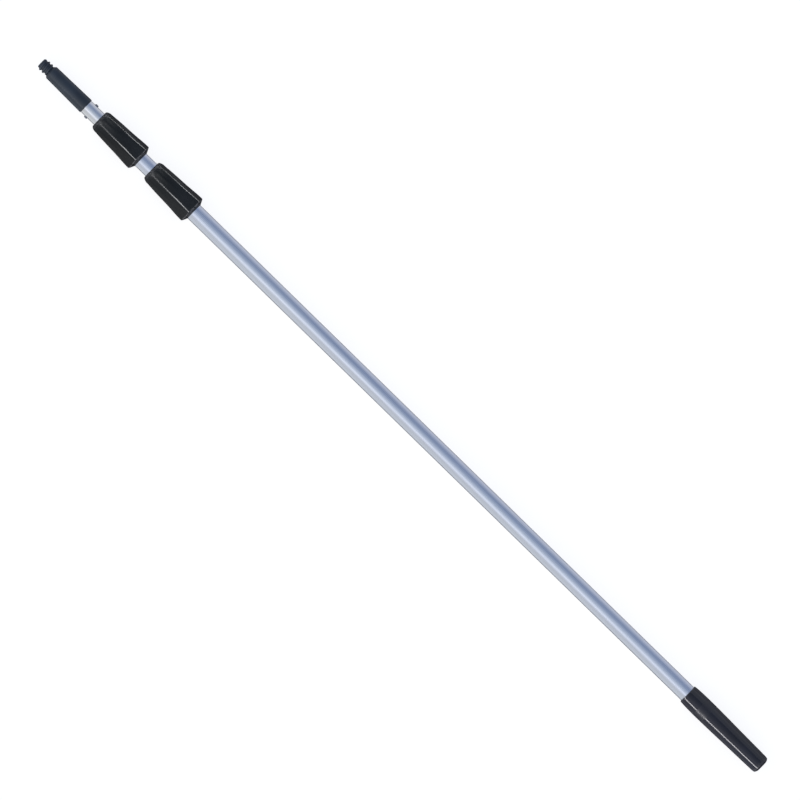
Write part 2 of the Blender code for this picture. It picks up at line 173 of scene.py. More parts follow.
# ---------------------------------------------------------------------------------------------------------
# Materials
# ---------------------------------------------------------------------------------------------------------


class Surface:
    """A Principled material with helpers for its pattern nodes, all in the piece's own coordinates."""

    def __init__(self, name, roughness, metallic=0.0, **constants):
        self.material = bpy.data.materials.new(name)
        self.material.use_nodes = True
        self.tree = self.material.node_tree
        self.shader = self.tree.nodes["Principled BSDF"]
        self.shader.inputs["Metallic"].default_value = metallic
        self.shader.inputs["Roughness"].default_value = roughness
        for socket, value in constants.items():
            self.shader.inputs[socket.replace("_", " ")].default_value = value
        self.place = self.node("ShaderNodeTexCoord").outputs["Object"]

    def node(self, kind, **settings):
        made = self.tree.nodes.new(kind)
        for key, value in settings.items():
            setattr(made, key, value)
        return made

    def link(self, source, target):
        self.tree.links.new(source, target)

    def noise(self, scale, stretch=(1, 1, 1), detail=4.0, rough=0.5):
        """A noise pattern, its scale in features per metre, stretched along X, Y and Z."""
        mapping = self.node("ShaderNodeMapping")
        mapping.inputs["Scale"].default_value = stretch
        self.link(self.place, mapping.inputs["Vector"])
        pattern = self.node("ShaderNodeTexNoise")
        pattern.inputs["Scale"].default_value = scale
        pattern.inputs["Detail"].default_value = detail
        pattern.inputs["Roughness"].default_value = rough
        self.link(mapping.outputs["Vector"], pattern.inputs["Vector"])
        return pattern.outputs["Fac"]

    def remap(self, source, low, high, to_low, to_high):
        made = self.node("ShaderNodeMapRange", clamp=True)
        self.link(source, made.inputs["Value"])
        for socket, value in zip(("From Min", "From Max", "To Min", "To Max"), (low, high, to_low, to_high)):
            made.inputs[socket].default_value = value
        return made.outputs["Result"]

    def math(self, operation, first, second):
        made = self.node("ShaderNodeMath", operation=operation)
        for socket, value in zip(made.inputs, (first, second)):
            if isinstance(value, (int, float)):
                socket.default_value = value
            else:
                self.link(value, socket)
        return made.outputs["Value"]

    def mix(self, share, first, second):
        """A colour between two, by share. Each colour is four numbers or a socket."""
        made = self.node("ShaderNodeMix", data_type="RGBA")
        self.link(share, made.inputs["Factor"])
        for name, value in (("A", first), ("B", second)):
            socket = next(s for s in made.inputs if s.name == name and s.type == "RGBA")
            if isinstance(value, tuple):
                socket.default_value = value
            else:
                self.link(value, socket)
        return next(s for s in made.outputs if s.type == "RGBA")

    def painted(self, attribute):
        """A value stored on the piece's points."""
        return self.node("ShaderNodeAttribute", attribute_name=attribute).outputs["Fac"]

    def bump(self, height, distance, strength):
        made = self.node("ShaderNodeBump")
        made.inputs["Distance"].default_value = distance
        made.inputs["Strength"].default_value = strength
        self.link(height, made.inputs["Height"])
        return made.outputs["Normal"]

    def set(self, socket, source):
        self.link(source, self.shader.inputs[socket])


def anodised(name, base, bright, roughness):
    """Drawn and anodised aluminium: hair-fine lines along the tube, soft tone changes and rubbed ends."""
    made = Surface(name, roughness, 1.0)
    lines = made.noise(900, (0.012, 1, 1), 3.0, 0.6)
    broad = made.noise(60, (0.04, 1, 1), 2.0)
    tone = made.remap(broad, 0.35, 0.65, 0.0, 1.0)
    color = made.mix(tone, base, bright)
    grain = made.remap(made.noise(2600, (0.2, 1, 1), 2.0), 0.3, 0.7, 0.0, 0.10)
    color = made.mix(grain, color, (0.30, 0.33, 0.38, 1))
    scuffs = made.remap(made.noise(300, (1, 1, 1), 5.0), 0.4, 0.62, 0, 1)
    scuffed = made.math("MULTIPLY", made.painted("wear"), scuffs)
    color = made.mix(scuffed, color, (0.80, 0.81, 0.83, 1))
    made.set("Base Color", color)
    made.set("Roughness", made.remap(lines, 0.3, 0.7, roughness - 0.05, roughness + 0.07))
    made.set("Normal", made.bump(lines, 0.02 * MM, 0.5))
    return made.material


def moulded(name, base, roughness, grain, shine, matt_roughness=0.0, matt_gloss=1.0):
    """Black moulded nylon: fine spark-eroded grain, flow marks along the piece and paler, rubbed edges.

    Where the piece is matt, matt_roughness is added to its roughness, and its shine is multiplied by matt_gloss.
    """
    made = Surface(name, roughness, 0.0, IOR=1.5)
    facing = made.node("ShaderNodeLayerWeight").outputs["Facing"]
    specular = made.remap(facing, 0.35, 0.7, shine, shine * 0.1)
    if matt_gloss != 1:
        specular = made.math("MULTIPLY", specular, made.remap(made.painted("matt"), 0, 1, 1, matt_gloss))
    made.set("Specular IOR Level", specular)
    fine = made.noise(2200, (1, 1, 1), 3.0, 0.6)
    flow = made.noise(160, (0.08, 1, 1), 3.0)
    blotch = made.noise(45, (0.5, 1, 1), 3.0)
    rubs = made.remap(made.noise(420, (1, 1, 1), 5.0), 0.35, 0.62, 0, 1)
    worn = made.math("MULTIPLY", made.painted("wear"), rubs)
    color = made.mix(made.remap(blotch, 0.35, 0.65, 0, 1), base, tuple(c * 1.5 for c in base[:3]) + (1,))
    color = made.mix(made.math("MULTIPLY", worn, 0.7), color, EDGE_GREY)
    made.set("Base Color", color)
    rough = made.remap(flow, 0.3, 0.7, roughness - 0.05, roughness + 0.06)
    rough = made.math("ADD", rough, made.math("MULTIPLY", worn, 0.08))
    if matt_roughness:
        rough = made.math("ADD", rough, made.math("MULTIPLY", made.painted("matt"), matt_roughness))
    made.set("Roughness", rough)
    made.set("Normal", made.bump(fine, grain, 0.5))
    return made.material


def plain_plastic(name, base, roughness):
    """Turned or moulded natural plastic with fine tool rings."""
    made = Surface(name, roughness, 0.0)
    rings = made.noise(3000, (1, 0.05, 0.05), 2.0)
    tone = made.remap(made.noise(120), 0.35, 0.65, 0, 1)
    made.set("Base Color", made.mix(tone, base, tuple(c * 0.82 for c in base[:3]) + (1,)))
    made.set("Roughness", made.remap(rings, 0.3, 0.7, roughness - 0.06, roughness + 0.08))
    made.set("Normal", made.bump(rings, 0.02 * MM, 0.5))
    return made.material


def plated(name, base, roughness):
    """Dull plated spring steel with small handling marks."""
    made = Surface(name, roughness, 1.0)
    marks = made.noise(1500, (1, 1, 1), 5.0, 0.65)
    tone = made.remap(made.noise(350), 0.35, 0.65, 0, 1)
    color = made.mix(tone, base, tuple(min(1, c * 1.5) for c in base[:3]) + (1,))
    rubbed = made.math("MULTIPLY", made.painted("wear"), 0.6)
    made.set("Base Color", made.mix(rubbed, color, (0.7, 0.7, 0.72, 1)))
    made.set("Roughness", made.remap(marks, 0.3, 0.7, roughness - 0.08, roughness + 0.12))
    made.set("Normal", made.bump(marks, 0.02 * MM, 0.4))
    return made.material


def rubber_like(name, base):
    made = Surface(name, 0.8, 0.0)
    grain = made.noise(1800, (1, 1, 1), 4.0)
    paler = tuple(c * 1.8 for c in base[:3]) + (1,)
    made.set("Base Color", made.mix(made.remap(grain, 0.4, 0.6, 0, 1), base, paler))
    made.set("Roughness", made.remap(made.noise(200), 0.3, 0.7, 0.7, 0.9))
    made.set("Normal", made.bump(grain, 0.05 * MM, 0.6))
    return made.material


EDGE_GREY = (0.06, 0.06, 0.065, 1)
OUTER_METAL = anodised("outer_anodised", (0.76, 0.82, 0.94, 1), (0.80, 0.86, 0.96, 1), 0.28)
MIDDLE_METAL = anodised("middle_anodised", (0.77, 0.83, 0.94, 1), (0.81, 0.86, 0.96, 1), 0.28)
INNER_METAL = anodised("inner_anodised", (0.84, 0.88, 0.93, 1), (0.88, 0.91, 0.95, 1), 0.20)
COLLAR_BLACK = moulded("collar_black", (0.002, 0.0025, 0.003, 1), 0.13, 0.0015 * MM, 0.24, 0.27, 0.55)
CONE_BLACK = moulded("cone_black", (0.020, 0.029, 0.042, 1), 0.34, 0.010 * MM, 0.45)
GRIP_BLACK = moulded("grip_black", (0.005, 0.006, 0.011, 1), 0.14, 0.0015 * MM, 0.36, 0.20)
SLEEVE_BLACK = moulded("sleeve_black", (0.006, 0.006, 0.008, 1), 0.40, 0.015 * MM, 0.5)
NATURAL = plain_plastic("natural_acetal", (0.62, 0.61, 0.56, 1), 0.45)
STEEL = plated("plated_steel", (0.20, 0.21, 0.24, 1), 0.34)
RUBBER = rubber_like("bumper_rubber_look", (0.02, 0.02, 0.021, 1))

# ---------------------------------------------------------------------------------------------------------
# Tubes
# ---------------------------------------------------------------------------------------------------------

CHAMFER = 0.25 * MM


def tube(body, node, radius, wall, surface, extra=()):
    """A drawn tube with small chamfers at both ends. extra holds more stations for rings in its wall."""
    start, end = span(node)
    bore = radius - wall
    wall_rings = [(start + CHAMFER, 1), (start + 3 * MM, 0.5), (start + 8 * MM, 0)]
    wall_rings += [(z, 0) for z in extra] + [(end - CHAMFER, 0)]
    outline = [(radius - CHAMFER, start, 1)] + [(radius, z, worn) for z, worn in sorted(wall_rings)]
    outline.append((radius - CHAMFER, end, 1))
    outline += [(bore + CHAMFER, end, 1), (bore, end - CHAMFER, 0), (bore, start + CHAMFER, 0)]
    outline += [(bore + CHAMFER, start, 1)]
    return turned(f"{node}_drawn", outline, body, [node], surface)


def make_tubes():
    tube("handle_section", "outer_tube", OUTER_R, OUTER_WALL, OUTER_METAL)
    tube("middle_section", "middle_tube", MIDDLE_R, MIDDLE_WALL, MIDDLE_METAL)
    center = button_station()
    extra = [center - 5 * MM, center + 5 * MM]
    made = tube("inner_section", "inner_tube", INNER_R, INNER_WALL, INNER_METAL, extra)
    for side, angle in BUTTON_SIDES:
        cut_round(made, center, angle, BUTTON_R + 0.22 * MM)


def cut_round(target, station, angle, radius):
    """Cuts a round hole square to the pole's axis through one wall."""
    bm = bmesh.new()
    bmesh.ops.create_cone(bm, cap_ends=True, segments=FINE, radius1=radius, radius2=radius, depth=10 * MM)
    outward = Vector((0, math.cos(angle), math.sin(angle)))
    turn = Vector((0, 0, 1)).rotation_difference(outward).to_matrix().to_4x4()
    bmesh.ops.transform(bm, matrix=Matrix.Translation(at(station, angle, INNER_R)) @ turn, verts=bm.verts)
    apply_cut(target, bm)


def apply_cut(target, bm):
    """Subtracts a closed cutter from a piece for good."""
    bmesh.ops.recalc_face_normals(bm, faces=bm.faces)
    mesh = bpy.data.meshes.new("cutter")
    bm.to_mesh(mesh)
    bm.free()
    cutter = bpy.data.objects.new("cutter", mesh)
    bpy.context.collection.objects.link(cutter)
    modifier = target.modifiers.new("cut", "BOOLEAN")
    modifier.operation = "DIFFERENCE"
    modifier.solver = "EXACT"
    modifier.object = cutter
    bpy.context.view_layer.update()
    graph = bpy.context.evaluated_depsgraph_get()
    cut = bpy.data.meshes.new_from_object(target.evaluated_get(graph))
    target.modifiers.remove(modifier)
    old = target.data
    target.data = cut
    bpy.data.meshes.remove(old)
    bpy.data.objects.remove(cutter)
    cut.set_sharp_from_angle(angle=math.radians(30))


# ---------------------------------------------------------------------------------------------------------
# Snap buttons
# ---------------------------------------------------------------------------------------------------------

BUTTON_R = 2.85 * MM
BUTTON_PROUD = 2.3 * MM
BUTTON_SIDES = (("a", math.radians(15)), ("b", math.radians(195)))


def button_station():
    low, high = span("snap_button_a")
    return (low + high) / 2


def make_buttons():
    foot = 8.4 * MM
    head = INNER_R + BUTTON_PROUD
    outline = [(3.7 * MM, foot), (3.7 * MM, foot + 0.9 * MM), (BUTTON_R, foot + 0.9 * MM)]
    rise = 1.3 * MM
    outline.append((BUTTON_R, head - rise))
    for k in range(1, 9):
        a = math.pi / 2 * k / 9
        outline.append((BUTTON_R * math.cos(a), head - rise + rise * math.sin(a)))
    for side, angle in BUTTON_SIDES:
        outward = Vector((0, math.cos(angle), math.sin(angle)))
        across = Vector((1, 0, 0))
        along = outward.cross(across)
        origin = at(button_station(), 0, 0)
        rings = []
        for r, height in outline:
            rings.append(
                [
                    origin + outward * height + (across * math.cos(a) + along * math.sin(a)) * r
                    for a in (2 * math.pi * k / FINE for k in range(FINE))
                ]
            )
        wear = [0.0] * 4 + [k / 8 for k in range(1, 9)]
        skin(
            f"snap_button_{side}_turned",
            rings,
            wear,
            f"button_{side}",
            [f"snap_button_{side}"],
            STEEL,
            closed=False,
        )


# ---------------------------------------------------------------------------------------------------------
# Tool cone with its threaded nose
# ---------------------------------------------------------------------------------------------------------

CONE_START = 21.5 * MM
CONE_END = 94.1 * MM
CONE_TOP_R = 11.5 * MM
CONE_BOTTOM_R = 12.65 * MM
NOSE_ROOT_R = 8.0 * MM
NOSE_CREST_R = 9.8 * MM
NOSE_PITCH = 5.9 * MM
NOSE_THREAD = (2.4 * MM, 2.6)  # station at angle 0, and the number of turns
SPIGOT_R = INNER_R - INNER_WALL - 0.25 * MM
SPIGOT_SLOT = (98.1 * MM, 142 * MM, 8.4 * MM)


def thread_height(station, angle, start, pitch, turns, root_width, crest_width):
    """0 to 1 up a helical ridge's flank, at a station and an angle, fading out at the ridge's two ends."""
    best = 0.0
    for lap in range(-1, math.ceil(turns) + 1):
        turn = lap + angle / (2 * math.pi)
        if not 0 <= turn <= turns:
            continue
        off = abs(station - start - pitch * turn)
        height = 1 - smoothstep(crest_width / 2, root_width / 2, off)
        run_out = smoothstep(0, 0.16, turn) * smoothstep(0, 0.16, turns - turn)
        best = max(best, height * run_out)
    return best


def make_cone():
    start, turns = NOSE_THREAD
    rings, wear = [], []
    steps = 150
    nose_end = CONE_START - 3.4 * MM
    for k in range(steps + 1):
        z = nose_end * k / steps
        base = min(NOSE_ROOT_R, NOSE_ROOT_R - 1.3 * MM + z)
        ring = []
        for j in range(ROUND):
            angle = 2 * math.pi * j / ROUND
            rise = thread_height(z, angle, start, NOSE_PITCH, turns, 4.4 * MM, 1.5 * MM)
            ring.append(at(z, angle, base + (NOSE_CREST_R - NOSE_ROOT_R) * rise))
        rings.append(ring)
        wear.append(0.35)

    outline = [(NOSE_ROOT_R + 0.4 * MM, nose_end + 0.25 * MM, 0)]
    outline += [(CONE_TOP_R - 0.5 * MM, CONE_START - 0.45 * MM, 0.3)]
    outline += [(CONE_TOP_R - 0.12 * MM, CONE_START - 0.05 * MM, 0.9)]
    outline += [(CONE_TOP_R, CONE_START + 0.35 * MM, 0.7)]
    outline += [(CONE_TOP_R + 0.02 * MM, CONE_START + 1.6 * MM, 0.1)]
    for k in range(1, 9):
        share = k / 9
        z = CONE_START + (CONE_END - CONE_START) * share
        outline.append((CONE_TOP_R + (CONE_BOTTOM_R - CONE_TOP_R) * share, z, 0.0))
    outline += [(CONE_BOTTOM_R - 0.01 * MM, CONE_END - 1.5 * MM, 0.1)]
    outline += arc(CONE_BOTTOM_R - 0.3 * MM, CONE_END - 0.3 * MM, 0.3 * MM, 0, 90, 4, 0.9)
    outline += [(SPIGOT_R + 0.2 * MM, CONE_END, 0), (SPIGOT_R, CONE_END + 0.2 * MM, 0)]
    spigot_end = span("tip_cone")[1]
    outline += [(SPIGOT_R, spigot_end - MM, 0), (SPIGOT_R - MM, spigot_end, 0)]
    for r, z, worn in outline:
        rings.append([at(z, 2 * math.pi * j / ROUND, r) for j in range(ROUND)])
        wear.append(worn)
    cone = skin(
        "tool_cone",
        rings,
        wear,
        "inner_section",
        ["tip_cone"],
        CONE_BLACK,
        closed=False,
        sharp=40,
    )
    slot_start, slot_end, slot_width = SPIGOT_SLOT
    bm = bmesh.new()
    bmesh.ops.create_cube(bm, size=1)
    turn = Matrix.Rotation(BUTTON_SIDES[0][1], 4, "X")
    size = Matrix.Diagonal((slot_end - slot_start, 4 * SPIGOT_R, slot_width, 1))
    middle = at((slot_start + slot_end) / 2, 0, 0)
    bmesh.ops.transform(bm, matrix=Matrix.Translation(middle) @ turn @ size, verts=bm.verts)
    apply_cut(cone, bm)


# ---------------------------------------------------------------------------------------------------------
# Twist clamps
# ---------------------------------------------------------------------------------------------------------

LOWER_SCALE = 1.034
COLLAR_LENGTH = 87.2 * MM
COLLAR_RIM_R = 22.05 * MM
COLLAR_CORNER_R = 5 * MM
DOME_SLOPE = math.tan(math.radians(25))
FACE_TURN = math.radians(15)
SLEEVE_WALL = 1.55 * MM
CLEARANCE = 0.25 * MM
LIP_END = 4.6 * MM
FLANGE_AT = 77 * MM
SLEEVE_AT = 21.3 * MM
SLEEVE_LIP_END = 24.3 * MM
THREAD = (34 * MM, 4 * MM, 3)  # station in the collar, lead, turns
THREAD_RISE = 0.75 * MM
# Half-widths of the collar by station, in millimetres, at the upper collar's size
HALF_WIDTHS = (
    (9.5, 18.4),
    (22, 19.3),
    (36, 19.95),
    (50, 20.35),
    (59, 20.75),
    (67, 21.4),
    (76, 21.9),
    (84, 22.1),
)
# Radii of the rounded narrow end by station, in millimetres
COLLAR_NOSE = (
    (0, 14.1),
    (0.25, 14.6),
    (0.7, 15.25),
    (1.4, 15.85),
    (2.4, 16.5),
    (3.6, 17.0),
    (5, 17.5),
    (7, 18.0),
)
COLLAR_SIDES = 192
MATT_RUN = 60 * MM  # the collar's matt texture fades out over this much of its length
DOME_EDGE = 12.9  # radius in millimetres at which the domed rear face reaches the collar's length
FLUTES = 12  # shallow finger grooves round the narrow part, between low ribs
FLUTE_DEPTH = 0.5 * MM
FLUTE_RUN = (7 * MM, 11 * MM, 34 * MM, 62 * MM)  # where the grooves start, are full, start to fade and end


def hexagon(half_width, corner_r, angle):
    """The radius at an angle of a hexagon with rounded corners, the first corner at angle 0."""
    center = (half_width - corner_r) / math.cos(FACE_TURN)
    tangent = math.atan2(corner_r * 0.5, center + corner_r * math.cos(math.pi / 6))
    off = abs((angle + math.pi / 6) % (math.pi / 3) - math.pi / 6)
    if off <= tangent:
        return center * math.cos(off) + math.sqrt(corner_r**2 - (center * math.sin(off)) ** 2)
    return (center * math.cos(math.pi / 6) + corner_r) / math.cos(math.pi / 6 - off)


def flute(station, angle):
    """The depth of the finger grooves at a point of the collar."""
    begin, full, fade, end = FLUTE_RUN
    strength = smoothstep(begin, full, station) * (1 - smoothstep(fade, end, station))
    return FLUTE_DEPTH * strength * (0.5 - 0.5 * math.cos(FLUTES * angle)) ** 0.8


def make_clamp(prefix, scale, tube_r, slide_r, body):
    start = span(f"{prefix}_clamp_collar")[0]
    sleeve_r = tube_r + CLEARANCE + SLEEVE_WALL
    bore_r = sleeve_r + 0.3 * MM
    flange_r = sleeve_r + 1.1 * MM
    rear_bore_r = flange_r + CLEARANCE
    apex = start + COLLAR_LENGTH * scale + DOME_EDGE * MM * DOME_SLOPE
    angles = [2 * math.pi * k / COLLAR_SIDES for k in range(COLLAR_SIDES)]

    def dome(radius):
        return apex - radius * DOME_SLOPE

    # Outside: the rounded narrow end, the body that turns from round to six-sided, and the rim
    rings, wear = [], []
    round_end = HALF_WIDTHS[0][0]
    rim_station = COLLAR_LENGTH / MM - (COLLAR_RIM_R / MM - DOME_EDGE) * DOME_SLOPE
    for station, radius in COLLAR_NOSE:
        rings.append([at(start + station * MM, a, radius * scale * MM) for a in angles])
        wear.append(0.5 if station < 4 else 0.1)
    body_steps = 60
    for k in range(body_steps + 1):
        station = round_end + (rim_station - 1.3 - round_end) * k / body_steps
        share = (station - round_end) / (rim_station - round_end)
        half_width = through(HALF_WIDTHS, station) * scale * MM
        corner_r = half_width * (1 - share) + COLLAR_CORNER_R * share
        ring = []
        for a in angles:
            radius = hexagon(half_width, corner_r, a) - flute(station * MM, a)
            ring.append(at(start + station * scale * MM, a, radius))
        rings.append(ring)
        wear.append(0.05 * share)
    rim_r = COLLAR_RIM_R * scale
    rim_rounding = 1.1 * MM
    for k in range(7):
        turn = math.radians(65) * k / 6
        inset = rim_rounding * (1 - math.cos(turn))
        back = rim_rounding * (1 - math.sin(turn)) * 0.9
        ring = []
        for a in angles:
            r = hexagon(rim_r - inset, COLLAR_CORNER_R - inset * 0.5, a)
            ring.append(at(dome(r) - back, a, r))
        rings.append(ring)
        wear.append(0.9)
    for radius, worn in ((19.2 * MM * scale, 0.1), (rear_bore_r + 0.3 * MM, 0.4)):
        rings.append([at(dome(radius), a, radius) for a in angles])
        wear.append(worn)
    rings.append([at(dome(rear_bore_r) - 0.2 * MM, a, rear_bore_r) for a in angles])
    wear.append(0.2)

    # Inside: the rear bore, the threaded bore and the narrow lip
    inner = [(rear_bore_r, start + (FLANGE_AT - 4 * MM) * scale)]
    inner += [(bore_r, start + (FLANGE_AT - 5 * MM) * scale)]
    for radius, z in inner:
        rings.append([at(z, a, radius) for a in angles])
        wear.append(0)
    thread_at, lead, turns = THREAD
    groove_start = start + thread_at
    first, last = groove_start - 4 * MM, groove_start + lead * turns + 5 * MM
    groove_steps = 60
    for k in range(groove_steps + 1):
        z = last + (first - last) * k / groove_steps
        ring = []
        for a in angles:
            rise = thread_height(z, a, groove_start - lead, lead, turns + 2, 2.9 * MM, 1.7 * MM)
            ring.append(at(z, a, bore_r + (THREAD_RISE + 0.05 * MM) * rise))
        rings.append(ring)
        wear.append(0)
    lip_r = slide_r + 0.4 * MM
    for radius, z in (
        (bore_r, start + LIP_END),
        (lip_r, start + LIP_END),
        (lip_r, start + 0.3 * MM),
        (lip_r + 0.3 * MM, start),
    ):
        rings.append([at(z, a, radius) for a in angles])
        wear.append(0.2)
    skin(
        f"{prefix}_collar_moulded",
        rings,
        wear,
        f"{prefix}_collar",
        [f"{prefix}_clamp_collar"],
        COLLAR_BLACK,
        sharp=40,
        matt=[1 - smoothstep(0, MATT_RUN, station_of(ring[0].x) - start) for ring in rings],
    )

    # Sleeve
    rings, wear = [], []
    grip_bore = tube_r + CLEARANCE
    first, last = groove_start - 2 * MM, groove_start + lead * turns + 2 * MM
    before = [(slide_r + CLEARANCE, start + SLEEVE_AT), (sleeve_r - 0.6 * MM, start + SLEEVE_AT)]
    before += [(sleeve_r, start + SLEEVE_AT + 0.8 * MM)]
    after = [(sleeve_r, start + FLANGE_AT * scale), (flange_r, start + FLANGE_AT * scale + MM)]
    after += [(flange_r, dome(flange_r) - 0.25 * MM), (flange_r - 0.25 * MM, dome(flange_r) + 0.05 * MM)]
    after += [(grip_bore + 0.25 * MM, dome(grip_bore + 0.25 * MM)), (grip_bore, dome(grip_bore) - 0.2 * MM)]
    after += [(grip_bore, start + SLEEVE_LIP_END), (slide_r + CLEARANCE, start + SLEEVE_LIP_END)]
    sides = [2 * math.pi * k / ROUND for k in range(ROUND)]
    for radius, z in before:
        rings.append([at(z, a, radius) for a in sides])
    for k in range(groove_steps + 1):
        z = first + (last - first) * k / groove_steps
        ring = []
        for a in sides:
            rise = thread_height(z, a, groove_start, lead, turns, 2.4 * MM, MM)
            ring.append(at(z, a, sleeve_r + THREAD_RISE * rise))
        rings.append(ring)
    for radius, z in after:
        rings.append([at(z, a, radius) for a in sides])
    wear = [0.2] * len(rings)
    skin(
        f"{prefix}_sleeve_moulded",
        rings,
        wear,
        body,
        [f"{prefix}_clamp_sleeve"],
        SLEEVE_BLACK,
        sharp=40,
    )


# ---------------------------------------------------------------------------------------------------------
# Handle grip
# ---------------------------------------------------------------------------------------------------------

# Half-widths down the grip, in millimetres from its top edge: a soft belly, then a long taper
GRIP_SHAPE = (
    (0, 15.7),
    (9, 16.3),
    (18, 16.65),
    (30, 16.8),
    (46, 16.7),
    (70, 16.35),
    (100, 15.7),
    (126, 15.25),
    (148.5, 14.8),
)
GRIP_TOP_R = 15.5 * MM
GRIP_END_R = 8 * MM

GRIP_BAND = (27 * MM, 44.5 * MM)  # a matt band round the belly


def make_grip():
    start, end = span("handle_grip")
    bore_r = OUTER_R + CLEARANCE
    floor = span("end_bumper")[1] + 0.7 * MM
    outline = [(bore_r, floor, 0), (bore_r, start + 0.3 * MM, 0), (bore_r + 0.3 * MM, start, 0.4)]
    outline += [(GRIP_TOP_R - 0.35 * MM, start, 0.8), (GRIP_TOP_R - 0.08 * MM, start + 0.12 * MM, 0.9)]
    outline += [(GRIP_TOP_R + 0.02 * MM, start + 0.5 * MM, 0.6)]
    first, last = 1.2, GRIP_SHAPE[-1][0]
    steps = 148
    for k in range(1, steps + 1):
        station = first + (last - first) * k / steps
        outline.append((through(GRIP_SHAPE, station) * MM, start + station * MM, 0.04))
    corner = arc(11.6 * MM, end - 4.3 * MM, 2.8 * MM, 5, 60, 9, 0.7)
    outline += corner
    last_r, last_z, _ = corner[-1]
    for k in range(1, 6):
        share = k / 5
        radius = last_r + (GRIP_END_R - last_r) * share
        outline.append((radius, last_z + (end - last_z) * math.sin(share * math.pi / 2), 0.3))
    sides = [2 * math.pi * k / ROUND for k in range(ROUND)]
    rings = [[at(z, a, r) for a in sides] for r, z, _ in outline]
    band_start, band_end = (start + z for z in GRIP_BAND)
    skin(
        "grip_moulded",
        rings,
        [w for _, _, w in outline],
        "handle_section",
        ["handle_grip"],
        GRIP_BLACK,
        closed=False,
        sharp=40,
        matt=[float(band_start < z < band_end and r > bore_r) for r, z, _ in outline],
    )


# ---------------------------------------------------------------------------------------------------------
# CAD nodes that keep their own shape
# ---------------------------------------------------------------------------------------------------------


def repaint():
    looks = {
        NATURAL: [f"{p}_{piece}" for p in ("lower", "upper") for piece in ("collet", "thrust_ring")],
        STEEL: ["button_spring"] + [f"{p}_sleeve_rivet_{s}" for p in ("lower", "upper") for s in "ab"],
        RUBBER: ["end_bumper"],
    }
    looks[NATURAL] += [f"{p}_guide_bush" for p in ("middle", "inner")]
    looks[STEEL] += [f"{p}_bush_pin_{s}" for p in ("middle", "inner") for s in "ab"]
    for surface, nodes in looks.items():
        for node in nodes:
            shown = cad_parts[node]
            for slot in shown.material_slots:
                slot.material = surface


# ---------------------------------------------------------------------------------------------------------
# Studio
# ---------------------------------------------------------------------------------------------------------

VIEW_TILT = math.radians(15)  # the camera stands this far off vertical, towards -Y
VIEW_ROLL = math.radians(44.321)  # the pole runs this far below level, down to the right
VIEW_DISTANCE = 24.0
VIEW_WIDTH = 1.2031  # width of the view at the pole
VIEW_OFFSET = (0.0024, -0.0218)  # the pole's middle, right of and above the view's centre
FLOOR_SIZE = 200.0
FLOOR_Z = -0.6 * MM
STRIP_DISTANCE = 1.5
STRIP_LENGTH = 4.0

# Light from round the pole: degrees from level on the +Y side through straight up, and its colour
STUDIO_GLOW = (
    (-180, (0.64, 0.64, 0.64)),
    (-128, (0.74, 0.74, 0.74)),
    (-108, (0.10, 0.10, 0.11)),
    (-50, (0.08, 0.08, 0.10)),
    (-28, (0.58, 0.58, 0.62)),
    (5, (0.56, 0.57, 0.64)),
    (30, (0.36, 0.40, 0.50)),
    (45, (0.24, 0.285, 0.40)),
    (62, (0.24, 0.29, 0.41)),
    (80, (0.33, 0.38, 0.49)),
    (95, (0.43, 0.48, 0.57)),
    (108, (0.53, 0.57, 0.65)),
    (122, (0.70, 0.73, 0.80)),
    (135, (1.05, 1.06, 1.12)),
    (148, (0.72, 0.72, 0.76)),
    (160, (0.60, 0.60, 0.62)),
    (180, (0.64, 0.64, 0.64)),
)


def make_camera():
    back = Vector((0, -math.sin(VIEW_TILT), math.cos(VIEW_TILT)))
    across = back.cross(Vector((1, 0, 0)))
    right = math.cos(VIEW_ROLL) * Vector((1, 0, 0)) + math.sin(VIEW_ROLL) * across
    up = -math.sin(VIEW_ROLL) * Vector((1, 0, 0)) + math.cos(VIEW_ROLL) * across
    middle = at(POLE_LENGTH / 2, 0, 0)
    target = middle - right * VIEW_OFFSET[0] - up * VIEW_OFFSET[1]
    data = bpy.data.cameras.new("studio_camera")
    data.sensor_width = 36
    data.lens = data.sensor_width / 2 / (VIEW_WIDTH / 2 / VIEW_DISTANCE)
    data.clip_end = 400
    camera = bpy.data.objects.new("studio_camera", data)
    bpy.context.collection.objects.link(camera)
    turn = Matrix((right, up, back)).transposed().to_4x4()
    camera.matrix_world = Matrix.Translation(target + back * VIEW_DISTANCE) @ turn
    bpy.context.scene.camera = camera


def strip_light(name, elevation, side, width, power, color, lit):
    """A long soft box parallel to the pole, which lights only the pieces in lit.

    elevation is above the floor, and side is -1 on the -Y side and 1 on the +Y side.
    """
    data = bpy.data.lights.new(name, "AREA")
    data.shape = "RECTANGLE"
    data.size = STRIP_LENGTH
    data.size_y = width
    data.energy = power
    data.color = color
    made = bpy.data.objects.new(name, data)
    bpy.context.collection.objects.link(made)
    away = Vector((0, side * math.cos(elevation), math.sin(elevation)))
    made.location = Vector((0, 0, AXIS_Z)) + away * STRIP_DISTANCE
    across = away.cross(Vector((1, 0, 0)))
    made.rotation_euler = Matrix((Vector((1, 0, 0)), across, away)).transposed().to_euler()
    made.visible_camera = False
    made.light_linking.receiver_collection = lit


